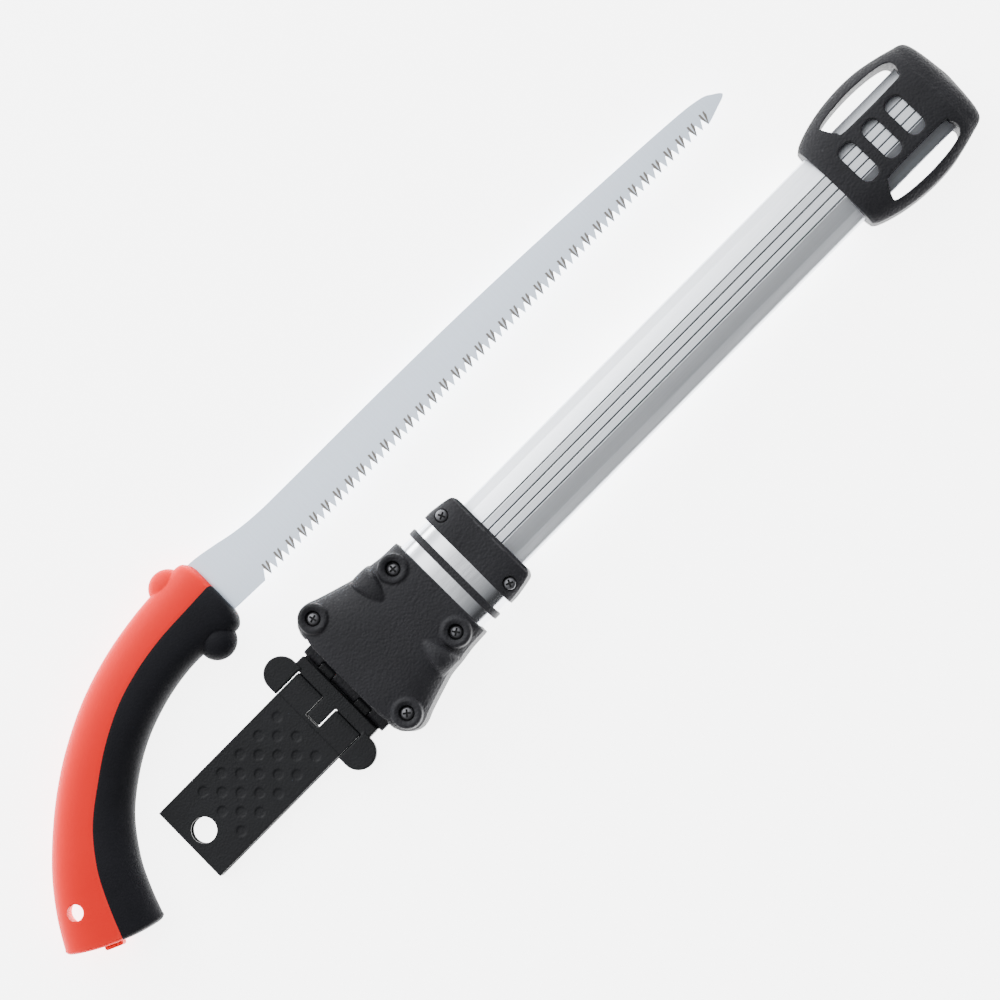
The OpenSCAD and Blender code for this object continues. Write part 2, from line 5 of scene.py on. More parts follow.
import bmesh
import bpy
from mathutils import Matrix, Vector


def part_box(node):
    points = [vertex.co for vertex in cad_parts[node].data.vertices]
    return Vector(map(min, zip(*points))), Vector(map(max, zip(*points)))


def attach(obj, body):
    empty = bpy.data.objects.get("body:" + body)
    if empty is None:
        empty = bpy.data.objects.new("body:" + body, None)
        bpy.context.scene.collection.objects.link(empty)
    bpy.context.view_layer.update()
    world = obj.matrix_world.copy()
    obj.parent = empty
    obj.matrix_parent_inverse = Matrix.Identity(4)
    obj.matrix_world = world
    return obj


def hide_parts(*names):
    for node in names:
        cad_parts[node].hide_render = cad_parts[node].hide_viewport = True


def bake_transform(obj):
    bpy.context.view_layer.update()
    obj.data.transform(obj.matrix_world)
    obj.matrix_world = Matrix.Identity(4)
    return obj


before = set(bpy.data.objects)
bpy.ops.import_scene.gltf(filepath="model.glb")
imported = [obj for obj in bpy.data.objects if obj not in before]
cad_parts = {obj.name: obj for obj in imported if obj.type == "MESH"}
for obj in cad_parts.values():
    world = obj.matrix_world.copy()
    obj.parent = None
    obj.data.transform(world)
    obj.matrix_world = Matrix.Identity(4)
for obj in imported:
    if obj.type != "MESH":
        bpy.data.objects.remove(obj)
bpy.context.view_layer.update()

MM = 0.001

# ---------- places, from the frame, in millimetres ----------


def box_mm(node):
    """Lowest and highest corner of a CAD node, in millimetres."""
    lo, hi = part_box(node)
    return lo / MM, hi / MM


core_lo, core_hi = box_mm("handle_core")
blade_lo, blade_hi = box_mm("blade")
mouth_lo, mouth_hi = box_mm("mouth_front")
back_lo, back_hi = box_mm("mouth_back")
cap_lo, cap_hi = box_mm("tip_cap")
tube_lo, tube_hi = box_mm("scabbard_tube")
sleeve_lo, sleeve_hi = box_mm("joint_sleeve")
ring_lo, ring_hi = box_mm("sleeve_ring")
collar_lo, collar_hi = box_mm("collar_front")
flap_lo, flap_hi = box_mm("hanger_flap")
strap_lo, strap_hi = box_mm("hanger_strap")
keeper_lo, keeper_hi = box_mm("hanger_keeper")

LOBE_TOP = 26.6  # the back lobe's top above the saw's axis
NOSE_FRONT = 0.6  # the nose's front face beyond the saw's datum
SAW = Vector((box_mm("soft_grip")[1].x - NOSE_FRONT, core_hi.y - LOBE_TOP,
              (blade_lo.z + blade_hi.z) / 2))
SHEATH = Vector((mouth_lo.x, (tube_lo.y + tube_hi.y) / 2, (tube_lo.z + tube_hi.z) / 2))
GROUND_SHEATH = Vector((SHEATH.x, SHEATH.y, 0))

# ---------- small geometry helpers ----------


def smooth_curve(points, steps):
    """Smooth curve through points, which are tuples, with this many steps to each stretch."""
    last = len(points) - 1
    made = []
    for i in range(last):
        a, b = points[max(i - 1, 0)], points[i]
        c, d = points[i + 1], points[min(i + 2, last)]
        for k in range(steps):
            t = k / steps
            made.append(tuple(
                0.5 * (2 * q + (r - p) * t + (2 * p - 5 * q + 4 * r - s) * t * t
                       + (3 * q - p - 3 * r + s) * t ** 3)
                for p, q, r, s in zip(a, b, c, d)))
    made.append(tuple(points[last]))
    return made


def curve_value(points, x):
    """Height at x of the smooth curve through points, whose first values rise."""
    fine = smooth_curve(points, 12)
    if x <= fine[0][0]:
        return fine[0][1]
    for (x0, y0), (x1, y1) in zip(fine, fine[1:]):
        if x <= x1:
            return y0 + (y1 - y0) * (x - x0) / max(x1 - x0, 1e-9)
    return fine[-1][1]


def power_oval(w, h, power, n):
    """Flattened oval in Y and Z with half width w and half height h."""
    made = []
    for i in range(n):
        c, s = math.cos(2 * math.pi * i / n), math.sin(2 * math.pi * i / n)
        made.append((w * math.copysign(abs(c) ** (2 / power), c),
                     h * math.copysign(abs(s) ** (2 / power), s)))
    return made


def mesh_piece(name, verts, faces, origin=None):
    """New mesh object from points in millimetres, placed at origin."""
    mesh = bpy.data.meshes.new(name)
    mesh.from_pydata([Vector(v) for v in verts], [], faces)
    obj = bpy.data.objects.new(name, mesh)
    bpy.context.scene.collection.objects.link(obj)
    if origin is not None:
        mesh.transform(Matrix.Translation(origin))
    tidy_normals(obj)
    return obj


def tidy_normals(obj):
    bm = bmesh.new()
    bm.from_mesh(obj.data)
    bmesh.ops.remove_doubles(bm, verts=bm.verts, dist=1e-4)
    bmesh.ops.recalc_face_normals(bm, faces=bm.faces)
    bm.to_mesh(obj.data)
    bm.free()


def loft(name, rings, origin=None, strips=False):
    """Closed solid through rings of equal length; strips closes a curved first ring with quads."""
    m = len(rings[0])
    verts = [p for ring in rings for p in ring]
    faces = []
    for i in range(len(rings) - 1):
        for k in range(m):
            j = (k + 1) % m
            faces.append((i * m + k, i * m + j, (i + 1) * m + j, (i + 1) * m + k))
    if strips:
        faces += [(k, k + 1, m - 2 - k, m - 1 - k) for k in range(m // 2 - 1)]
    else:
        faces.append(tuple(range(m)))
    faces.append(tuple((len(rings) - 1) * m + k for k in range(m)))
    return mesh_piece(name, verts, faces, origin)


def prism(name, outline, z0, z1, origin=None):
    """Upright prism over an X-Y outline."""
    return loft(name, [[(x, y, z) for x, y in outline] for z in (z0, z1)], origin)


def bar_x(name, outline, x0, x1, origin=None):
    """Bar along X with a Y-Z outline."""
    return loft(name, [[(x, y, z) for y, z in outline] for x in (x0, x1)], origin)


def lathe(name, profile, at=(0, 0, 0), n=48, origin=None):
    """Closed solid turned about Z from (radius, height) points that start and end on the axis."""
    verts = []
    faces = []
    rows = []
    for r, z in profile:
        if r < 1e-6:
            rows.append([len(verts)])
            verts.append((at[0], at[1], at[2] + z))
            continue
        rows.append(list(range(len(verts), len(verts) + n)))
        for i in range(n):
            a = 2 * math.pi * i / n
            verts.append((at[0] + r * math.cos(a), at[1] + r * math.sin(a), at[2] + z))
    for low, high in zip(rows, rows[1:]):
        for i in range(n):
            j = (i + 1) % n
            quad = [low[i % len(low)], low[j % len(low)], high[j % len(high)], high[i % len(high)]]
            faces.append(tuple(dict.fromkeys(quad)))
    return mesh_piece(name, verts, faces, origin)


def rod(name, r, z0, z1, at=(0, 0), n=48, origin=None):
    return lathe(name, [(0, z0), (r, z0), (r, z1), (0, z1)], (at[0], at[1], 0), n, origin)


def round_outline(x0, x1, y0, y1, r, n=6):
    """Rectangle with round corners of radius r."""
    corners = [(x1 - r, y1 - r, 0), (x0 + r, y1 - r, 90), (x0 + r, y0 + r, 180), (x1 - r, y0 + r, 270)]
    return [(cx + r * math.cos(math.radians(a + 90 * k / n)),
             cy + r * math.sin(math.radians(a + 90 * k / n)))
            for cx, cy, a in corners for k in range(n + 1)]


def apply_modifiers(obj):
    depsgraph = bpy.context.evaluated_depsgraph_get()
    mesh = bpy.data.meshes.new_from_object(obj.evaluated_get(depsgraph))
    obj.modifiers.clear()
    old = obj.data
    obj.data = mesh
    mesh.name = obj.name
    bpy.data.meshes.remove(old)
    return obj


def combine(obj, others, operation):
    """Joins others to obj, or cuts them from it, and deletes them."""
    for other in others:
        m = obj.modifiers.new("combine", "BOOLEAN")
        m.operation = operation
        m.solver = "EXACT"
        m.object = other
        apply_modifiers(obj)
        bpy.data.objects.remove(other)
    return obj


def cut(obj, *others):
    return combine(obj, others, "DIFFERENCE")


def add(obj, *others):
    return combine(obj, others, "UNION")


def moulded(obj, voxel, rounds=4):
    """Rounds every edge of a solid, as a mould does, by a fine remesh and a little smoothing."""
    m = obj.modifiers.new("remesh", "REMESH")
    m.mode = "VOXEL"
    m.voxel_size = voxel
    m.use_smooth_shade = True
    s = obj.modifiers.new("smooth", "SMOOTH")
    s.factor = 0.5
    s.iterations = rounds
    return apply_modifiers(obj)


def edge_rounded(obj, width, segments=3, angle=35):
    m = obj.modifiers.new("bevel", "BEVEL")
    m.width = width
    m.segments = segments
    m.limit_method = "ANGLE"
    m.angle_limit = math.radians(angle)
    m.use_clamp_overlap = True
    return apply_modifiers(obj)


def shade(obj, angle=None):
    """Smooth shading, with edges sharper than angle kept crisp."""
    for p in obj.data.polygons:
        p.use_smooth = True
    if angle is not None:
        obj.data.set_sharp_from_angle(angle=math.radians(angle))
    return obj


def join(obj, others):
    """Puts other meshes in obj as separate shells."""
    bm = bmesh.new()
    bm.from_mesh(obj.data)
    for other in others:
        bm.from_mesh(other.data)
        bpy.data.objects.remove(other)
    bm.to_mesh(obj.data)
    bm.free()
    return obj


def finish_piece(obj, body, materials, nodes=(), angle=None):
    """Scales a piece from millimetres to metres, gives it its body and materials, and hides the CAD nodes it
    replaces.
    """
    obj.data.transform(Matrix.Scale(MM, 4))
    shade(obj, angle)
    marked = [p.material_index for p in obj.data.polygons]
    obj.data.materials.clear()
    for material in materials:
        obj.data.materials.append(material)
    obj.data.polygons.foreach_set("material_index", marked)
    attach(obj, body)
    if nodes:
        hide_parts(*nodes)
    return obj


# ---------- materials ----------


class Shader:
    """One procedural material whose texture coordinates are metres in the row frame."""

    def __init__(self, name, **sockets):
        self.material = bpy.data.materials.new(name)
        self.material.use_nodes = True
        self.tree = self.material.node_tree
        self.bsdf = self.tree.nodes["Principled BSDF"]
        for key, value in sockets.items():
            self.bsdf.inputs[key.replace("_", " ")].default_value = value
        self.coords = self.tree.nodes.new("ShaderNodeTexCoord").outputs["Object"]

    def link(self, a, b):
        self.tree.links.new(a, b)

    def stretched(self, scale):
        node = self.tree.nodes.new("ShaderNodeMapping")
        node.inputs["Scale"].default_value = scale
        self.link(self.coords, node.inputs["Vector"])
        return node.outputs["Vector"]

    def noise(self, scale, detail=3.0, rough=0.5, vector=None):
        node = self.tree.nodes.new("ShaderNodeTexNoise")
        node.inputs["Scale"].default_value = scale
        node.inputs["Detail"].default_value = detail
        node.inputs["Roughness"].default_value = rough
        self.link(vector or self.coords, node.inputs["Vector"])
        return node.outputs["Fac"]

    def cells(self, scale):
        node = self.tree.nodes.new("ShaderNodeTexVoronoi")
        node.feature = "SMOOTH_F1"
        node.inputs["Scale"].default_value = scale
        self.link(self.coords, node.inputs["Vector"])
        return node.outputs["Distance"]

    def ramp(self, value, stops):
        node = self.tree.nodes.new("ShaderNodeValToRGB")
        elements = node.color_ramp.elements
        while len(elements) < len(stops):
            elements.new(0.5)
        for element, (place, colour) in zip(elements, stops):
            element.position = place
            element.color = (*colour, 1) if len(colour) == 3 else colour
        self.link(value, node.inputs["Fac"])
        return node.outputs["Color"]

    def mix(self, factor, a, b):
        node = self.tree.nodes.new("ShaderNodeMix")
        node.data_type = "RGBA"
        node.blend_type = "MIX"
        for value, index in ((factor, 0), (a, 6), (b, 7)):
            if hasattr(value, "is_output"):
                self.link(value, node.inputs[index])
            else:
                node.inputs[index].default_value = value
        return node.outputs[2]

    def math(self, operation, a, b):
        node = self.tree.nodes.new("ShaderNodeMath")
        node.operation = operation
        for value, index in ((a, 0), (b, 1)):
            if hasattr(value, "is_output"):
                self.link(value, node.inputs[index])
            else:
                node.inputs[index].default_value = value
        return node.outputs[0]

    def edges(self):
        """Near 0.5 on flat places and higher along outer edges."""
        return self.tree.nodes.new("ShaderNodeNewGeometry").outputs["Pointiness"]

    def bump(self, height, strength, distance):
        node = self.tree.nodes.new("ShaderNodeBump")
        node.inputs["Strength"].default_value = strength
        node.inputs["Distance"].default_value = distance
        self.link(height, node.inputs["Height"])
        self.link(node.outputs["Normal"], self.bsdf.inputs["Normal"])


def moulded_plastic(name, colour, worn, rough, grain, depth):
    """Moulded nylon: leather-like grain, slight tone changes and lighter worn edges."""
    s = Shader(name, Specular_IOR_Level=0.18, IOR=1.5)
    tone = s.ramp(s.noise(45, 4), [(0.3, tuple(c * 0.86 for c in colour)),
                                   (0.7, tuple(c * 1.14 for c in colour))])
    wear = s.math("MULTIPLY", s.ramp(s.edges(), [(0.53, (0, 0, 0)), (0.6, (1, 1, 1))]), 0.3)
    s.link(s.mix(wear, tone, (*worn, 1)), s.bsdf.inputs["Base Color"])
    cells = s.cells(grain)
    fine = s.noise(grain * 3.2, 2)
    s.link(s.ramp(cells, [(0.1, (rough - 0.07,) * 3), (0.8, (rough + 0.08,) * 3)]),
           s.bsdf.inputs["Roughness"])
    s.bump(s.math("ADD", cells, s.math("MULTIPLY", fine, 0.35)), 0.55, depth)
    return s.material


def soft_rubber(name, colour, rough):
    """Matt elastomer with a very fine grain."""
    s = Shader(name, Specular_IOR_Level=0.1, IOR=1.5)
    tone = s.ramp(s.noise(30, 5), [(0.3, tuple(c * 0.8 for c in colour)),
                                   (0.7, tuple(c * 1.2 for c in colour))])
    s.link(tone, s.bsdf.inputs["Base Color"])
    fine = s.noise(1300, 3, 0.6)
    s.link(s.ramp(fine, [(0.3, (rough - 0.05,) * 3), (0.7, (rough + 0.08,) * 3)]),
           s.bsdf.inputs["Roughness"])
    s.bump(fine, 0.6, 0.0005)
    return s.material


def red_plastic(name):
    """Satin red moulding with faint flow marks and a fine orange-peel surface."""
    s = Shader(name, Specular_IOR_Level=0.13, IOR=1.5)
    flow = s.noise(18, 4, 0.6, s.stretched((1, 1.6, 1)))
    tone = s.ramp(flow, [(0.25, (0.95, 0.006, 0.005)), (0.75, (0.99, 0.01, 0.008))])
    wear = s.math("MULTIPLY", s.ramp(s.edges(), [(0.53, (0, 0, 0)), (0.6, (1, 1, 1))]), 0.2)
    s.link(s.mix(wear, tone, (0.95, 0.1, 0.07, 1)), s.bsdf.inputs["Base Color"])
    peel = s.noise(900, 3)
    s.link(s.ramp(peel, [(0.3, (0.42,) * 3), (0.7, (0.54,) * 3)]), s.bsdf.inputs["Roughness"])
    s.bump(peel, 0.3, 0.0002)
    return s.material


def brushed_metal(name, colour, rough, scale, metallic=1.0, depth=0.00002, spots=0.06):
    """Metal with fine parallel lines; the lines run along the axis whose scale is smallest."""
    s = Shader(name, Metallic=metallic, Anisotropic=0.25)
    lines = s.noise(1.0, 4, 0.65, s.stretched(scale))
    cloud = s.noise(22, 4)
    tone = s.ramp(lines, [(0.25, tuple(c * 0.93 for c in colour)),
                          (0.75, tuple(min(c * 1.04, 1) for c in colour))])
    s.link(s.mix(s.math("MULTIPLY", cloud, spots), tone, tuple(c * 0.8 for c in colour) + (1,)),
           s.bsdf.inputs["Base Color"])
    s.link(s.ramp(lines, [(0.25, (rough - 0.05,) * 3), (0.75, (rough + 0.07,) * 3)]),
           s.bsdf.inputs["Roughness"])
    s.bump(lines, 0.35, depth)
    return s.material


BLACK = (0.02, 0.02, 0.023)
nylon = moulded_plastic("black_nylon_grain", BLACK, (0.09, 0.09, 0.095), 0.5, 1000, 0.0005)
hanger_nylon = moulded_plastic("hanger_nylon_grain", (0.013, 0.0135, 0.015), (0.05, 0.05, 0.054),
                               0.5, 1300, 0.00028)
rubber = soft_rubber("black_soft_rubber", (0.011, 0.0112, 0.014), 0.6)
roller_rubber = soft_rubber("roller_rubber_matt", (0.012, 0.012, 0.014), 0.62)
red = red_plastic("red_satin_plastic")
steel = brushed_metal("blade_steel_satin", (0.76, 0.85, 0.98), 0.36, (900, 60, 60), depth=0.00001)
ground = brushed_metal("ground_tooth_facets", (0.19, 0.175, 0.16), 0.42, (300, 2500, 2500), 0.6)
zinc = brushed_metal("zinc_fastener", (0.5, 0.5, 0.52), 0.34, (700, 700, 2000), spots=0.3)
dark_screw = brushed_metal("dark_screw_head", (0.16, 0.16, 0.17), 0.36, (700, 700, 2000), 0.85, spots=0.3)
# Painted shade: a near-black metal put in the screws' cross recesses, where shade falls.
recess = brushed_metal("screw_cross_painted_shade", (0.012, 0.012, 0.013), 0.6, (700, 700, 2000), 0.2)
sleeve_metal = brushed_metal("sleeve_polished", (0.84, 0.86, 0.9), 0.2, (60, 900, 900))
tube_metal = brushed_metal("tube_anodised", (0.86, 0.89, 0.94), 0.34, (12, 1400, 1400), 0.7)
# Painted shade: the tube's own metal darkened for the faces inside its grooves.
groove_painted_shade = brushed_metal("tube_groove_painted_shade", (0.2, 0.21, 0.23), 0.45, (12, 1400, 1400), 0.7)
brass = brushed_metal("insert_brass_turned", (0.62, 0.43, 0.17), 0.34, (700, 700, 2200))

# ---------- saw ----------

# Pairs of a point on the grip's back and one on its palm side, butt first, with the height
# of the colour seam up the section and the half thickness as a share of the grip's
GRIP_PAIRS = [
    (-170, -71.4, -124.6, -91.4), (-161.2, -56.2, -119.6, -77.2), (-149.5, -40.8, -113, -63.2),
    (-136, -27.2, -101.5, -47.6), (-120, -13.9, -87, -35.6), (-102, -2.1, -72.5, -27.1),
    (-80, 8.6, -58, -21.6), (-58, 15.5, -44, -18.3), (-36, 19.4, -30, -17),
    (-16, 20.9, -15, -18), (-5, 21.3, -5.5, -20.2), (-1, 18.6, -1.2, -17.2), (0.6, 14, 0.4, -12.6)]
GRIP_SEAM = [0.4, 0.41, 0.43, 0.44, 0.43, 0.45, 0.48, 0.49, 0.5, 0.52, 0.55, 0.56, 0.57]
grip_t = core_hi.z - core_lo.z
NOSE_SHARE = 10 / 26
GRIP_HALF = [0.42, 0.47, 0.5, 0.5, 0.5, 0.5, 0.49, 0.47, 0.43,
             NOSE_SHARE, NOSE_SHARE, NOSE_SHARE - 0.03, NOSE_SHARE - 0.09]
BUTT_ROUND = 2.2
BUTT_BULGE = 3.0
BUTT_REACH = 26.0
LANYARD = (-151.5, -61.3)
SEAM_GROOVE = 0.12
BOLTS = ((-12, 7), (-34, 4))
BOLT_SEAT = -7.4
TAB_AT = (-150.3, -82.7, 0)
TAB_TURN = -23.8  # degrees


def section_z(u):
    """Half thickness of the rounded section at u, from -1 at the palm to 1 at the back."""
    return max(1 - abs(u) ** 2.6, 0) ** (1 / 2.3)


def grip_rows():
    """Middle, half axis, seam height and half thickness along the grip, with a rounded butt."""
    rows = []
    data = [p + (s, h * grip_t) for p, s, h in zip(GRIP_PAIRS, GRIP_SEAM, GRIP_HALF)]
    for bx, by, px, py, seam, half_t in smooth_curve(data, 9):
        back, palm = Vector((bx, by, 0)), Vector((px, py, 0))
        rows.append([(back + palm) / 2, (back - palm) / 2, 2 * seam - 1, half_t])
    outward = (rows[0][0] - rows[1][0]).normalized()
    mid, half, seam, half_t = rows[0]
    ends = []
    for k in range(7):
        a = math.radians(90 * k / 6)
        inset = BUTT_ROUND * (1 - math.sin(a))
        ends.append([mid - outward * BUTT_ROUND * (1 - math.cos(a)),
                     half * (1 - inset / half.length), seam, half_t - inset])
    return ends + rows[1:]


def grip_ring(row, u0, u1):
    """One ring of the grip between two heights of its section."""
    n = 26
    mid, half, _, half_t = row
    rim = []
    for k in range(n + 1):
        a = math.radians(90 * k / n)
        u = u0 + (u1 - u0) * (math.sin(a) if u1 > 0.9 else 1 - math.cos(a))
        near_seam = min(abs(u - u0) if u1 > 0.9 else abs(u - u1), 0.04) / 0.04
        z = half_t * section_z(u) - SEAM_GROOVE * (1 - near_seam) ** 2
        q = mid + half * u
        rim.append((q.x, q.y, z))
    return rim + [(x, y, -z) for x, y, z in reversed(rim)]


def ellipsoid(name, at, radii):
    """Ellipsoid of rings about Z."""
    rings = 20
    profile = [(math.sin(math.pi * k / rings), -math.cos(math.pi * k / rings)) for k in range(rings + 1)]
    profile[0] = (0, -1)
    profile[-1] = (0, 1)
    obj = lathe(name, profile, n=2 * rings)
    obj.data.transform(Matrix.Translation(at) @ Matrix.Diagonal((*radii, 1)))
    return obj


def bulge_butt(obj):
    """Pushes the middle of the butt out, so that its end is convex."""
    back, palm = Vector(GRIP_PAIRS[0][:2]), Vector(GRIP_PAIRS[0][2:])
    mid, half = (back + palm) / 2, (back - palm) / 2
    out = Vector((-half.y, half.x)).normalized()
    for v in obj.data.vertices:
        q = Vector((v.co.x - SAW.x, v.co.y - SAW.y)) - mid
        u = q.dot(half) / half.length_squared
        near = 1 + (q.dot(out)) / BUTT_REACH
        if near > 0 and abs(u) < 1:
            push = BUTT_BULGE * min(near, 1) ** 1.5 * (1 - u * u)
            v.co.x += out.x * push
            v.co.y += out.y * push


def make_grip():
    """Red core with lobe, lanyard hole and tab, and the rubber with its own lobe."""
    rows = grip_rows()
    core = loft("grip_core", [grip_ring(r, r[2], 0.9999) for r in rows], SAW, True)
    soft = loft("grip_rubber", [grip_ring(r, -0.9999, r[2]) for r in rows], SAW, True)
    bulge_butt(core)
    bulge_butt(soft)
    tab = prism("tab", round_outline(-4.5, 4.5, -2.5, 2.5, 1.2), -6.5, 0.5)
    tab.data.transform(Matrix.Translation(SAW + Vector(TAB_AT))
                       @ Matrix.Rotation(math.radians(TAB_TURN), 4, "Z"))
    back_lobe = ellipsoid("back_lobe", SAW + Vector((-15.4, 17, 0)), (9.5, 9.6, 6.6))
    palm_lobe = ellipsoid("palm_lobe", SAW + Vector((-15.8, -17, 0)), (9.6, 9.6, 7.5))
    hole = [(0, -30), (6, -30), (6, 4.8), (4, 5.4), (4, 10.6), (4.8, 12.2), (4.8, 30), (0, 30)]
    lanyard = lathe("lanyard", hole, (*LANYARD, 0), origin=SAW)
    add(core, back_lobe)
    cut(core, lanyard)
    add(soft, palm_lobe)
    for at in BOLTS:
        cut(core, rod("recess", 4.3, -30, BOLT_SEAT, at, origin=SAW))
    join(core, [tab])
    finish_piece(core, "saw", [red], ["handle_core"], 50)
    finish_piece(soft, "saw", [rubber], ["soft_grip"], 50)


PITCH = 4.0
TEETH = 75
HEEL = 23.6
TOOTH_LINE = (-13.1, -10.8)
TOOTH_H = 4.3
BLADE_T = blade_hi.z - blade_lo.z
TEETH_END = HEEL + TEETH * PITCH
TIP = TEETH_END + 12
SPINE = [(-40, 15), (-24, 16.8), (-8, 17.9), (2, 18.2), (14, 16.2), (26, 13.7), (40, 12.2),
         (60, 11.8), (TIP * 0.37, 11.3), (TIP * 0.55, 9.9), (TIP * 0.73, 7.1), (TIP * 0.91, 3.4),
         (TIP - 10, 1), (TIP - 3.5, -2), (TIP, -4.9), (TIP - 1.6, -6.5)]
GULLET_ROUND = 0.25


def tooth_y(x):
    return TOOTH_LINE[0] + (TOOTH_LINE[1] - TOOTH_LINE[0]) * (x - HEEL) / (TEETH_END - HEEL)


def tooth_outline(i):
    """Points of tooth i from its front gullet to its back one, towards the heel."""
    x = HEEL + i * PITCH
    y = tooth_y(x + PITCH / 4)
    return [(x + 0.31 * PITCH, y + 0.12), (x + 0.27 * PITCH, y), (x + 0.23 * PITCH, y + 0.12),
            (x + 0.03 * PITCH, y + TOOTH_H - GULLET_ROUND), (x, y + TOOTH_H),
            (x - 0.05 * PITCH, y + TOOTH_H), (x - 0.08 * PITCH, y + TOOTH_H - GULLET_ROUND)]


def make_blade():
    spine = smooth_curve(SPINE, 8)
    outline = ([(-46, -6), (-46, 11)] + spine + [(TIP - 6, -7.9), (TIP - 11.5, -9.8)]
               + [p for i in reversed(range(TEETH)) for p in tooth_outline(i)]
               + [(HEEL - 3.4, -13.2), (HEEL - 12, -12.9), (-2, -12.4), (-38, -10)])
    blade = prism("saw_blade", outline, -BLADE_T / 2, BLADE_T / 2, SAW)
    edge_rounded(blade, 0.12, 1, 60)
    finish_piece(blade, "saw", [steel], ["blade"], 30)


def ground_facets():
    """The bevels that are ground on every other tooth, on alternate faces of the blade."""
    verts, faces = [], []
    lift = BLADE_T / 2 + 0.015
    for i in range(TEETH):
        x = HEEL + i * PITCH
        y = tooth_y(x + PITCH / 4)
        z = lift if i % 2 == 0 else -lift
        tip = (x + 0.27 * PITCH, y + 0.05)
        strips = [
            [tip, (x + 0.05 * PITCH, y + TOOTH_H - 0.3), (x + 0.12 * PITCH, y + 6.6),
             (x + 0.36 * PITCH, y + 6.3), (x + 0.33 * PITCH, y + 1.6)],
            [tip, (x + 0.36 * PITCH, y + 1.7), (x + 0.72 * PITCH, y + 6.2),
             (x + 0.94 * PITCH, y + 6.6), (x + 0.88 * PITCH, y + TOOTH_H - 0.3)]]
        for strip in strips:
            base = len(verts)
            low = math.copysign(BLADE_T / 2 - 0.2, z)
            verts += [(px, py, z) for px, py in strip] + [(px, py, low) for px, py in strip]
            n = len(strip)
            faces.append(tuple(base + k for k in range(n)))
            faces.append(tuple(base + n + k for k in reversed(range(n))))
            faces += [(base + k, base + (k + 1) % n, base + n + (k + 1) % n, base + n + k)
                      for k in range(n)]
    obj = mesh_piece("tooth_bevels", verts, faces, SAW)
    finish_piece(obj, "saw", [ground], (), 30)


def paint_cross_shade(head, r, rise, spin, arm, thick):
    """Gives the faces of the driver recess the second material, a near-black painted shade."""
    for p in head.data.polygons:
        x, y = p.center.x, p.center.y
        u = abs(x * math.cos(spin) + y * math.sin(spin))
        v = abs(y * math.cos(spin) - x * math.sin(spin))
        in_cross = min(u, v) < thick + 0.02 and max(u, v) < arm + 0.02
        in_cone = math.hypot(x, y) < r * 0.3
        dome = rise * (0.35 + 0.65 * math.sqrt(max(1 - (math.hypot(x, y) / r) ** 2, 0)))
        if (in_cross or in_cone) and rise * 0.15 < p.center.z < dome - 0.06:
            p.material_index = 1


def screw_head(name, at, r, rise, spin, shank_r, length, down=False):
    """Domed cross-head screw with its head's underside at this place."""
    dome = [(r * math.cos(math.radians(a)), rise * (0.35 + 0.65 * math.sin(math.radians(a))))
            for a in range(0, 90, 9)]
    profile = [(0, -length), (shank_r, -length), (shank_r, 0), (r * 0.94, 0), (r, 0.12)] + dome + [(0, rise)]
    head = lathe(name, profile, n=40)
    arm = r * 0.62
    thick = r * 0.15
    for turn in (0, 90):
        blade = prism("arm", [(-arm, -thick), (arm, -thick), (arm, thick), (-arm, thick)],
                      rise * 0.25, rise * 2)
        blade.data.transform(Matrix.Rotation(math.radians(turn + spin), 4, "Z"))
        cut(head, blade)
    cone = lathe("cone", [(0, rise * 0.2), (r * 0.12, rise * 0.2), (r * 0.3, rise * 1.3), (0, rise * 1.3)],
                 n=24)
    cut(head, cone)
    paint_cross_shade(head, r, rise, math.radians(spin), arm, thick)
    if down:
        head.data.transform(Matrix.Rotation(math.pi, 4, "X"))
    head.data.transform(Matrix.Translation(at))
    return head


def make_saw():
    make_grip()
    make_blade()
    ground_facets()
    bolts = [screw_head(f"bolt_{i}", SAW + Vector((x, y, BOLT_SEAT)), 4.1, 2, 20 + 30 * i, 2.45, 13.4, True)
             for i, (x, y) in enumerate(BOLTS)]
    group = join(bolts[0], bolts[1:])
    group.name = "blade_bolt_heads"
    finish_piece(group, "saw", [zinc, recess], ["blade_bolts"], 35)


make_saw()

# ---------- scabbard mouth ----------

MOUTH_L = mouth_hi.x - mouth_lo.x
MOUTH_HALF = [(0, 30.8), (1.2, 34), (2.8, 36), (5, 37.9), (8.8, 39.4), (13, 38.9), (18, 36.9),
              (28, 33.7), (36, 31.4), (44, 30.6), (52, 29.5), (MOUTH_L, 29.1)]
FRONT_T = mouth_hi.z - SHEATH.z
BACK_T = SHEATH.z - back_lo.z
FRONT_SIDE = [(0, FRONT_T - 3), (6, FRONT_T - 1.8), (20, FRONT_T - 0.3), (30, FRONT_T),
              (44, FRONT_T - 0.5), (MOUTH_L, FRONT_T - 1.4)]
BACK_SIDE = [(0, BACK_T - 1), (3, BACK_T - 0.3), (8, BACK_T), (50, BACK_T), (MOUTH_L, BACK_T - 1.4)]
WALL = 2.4
FRONT_POWER = 3.2
BULGE_X = 39
SIDE_RUN = {1: 1.2, -1: 1.6}  # how far beyond the edge each shell's arch would meet the parting plane
BUSH_END = 10.6
SEAT_TOP = BUSH_END + 1.2
SCREW_ROOM = 3.7
ENTRY_HALF_W = 27
OUTER_AXLE = (9.8, 31.1)
INNER_AXLE = (52.5, 20.8)
BOSS_R = 7.4
AXLES = [(a[0], s * a[1], top) for a, top in ((OUTER_AXLE, 14.9), (INNER_AXLE, 15.7)) for s in (1, -1)]
SLEEVE_HALF = ((sleeve_hi.y - sleeve_lo.y) / 2, (sleeve_hi.z - sleeve_lo.z) / 2)


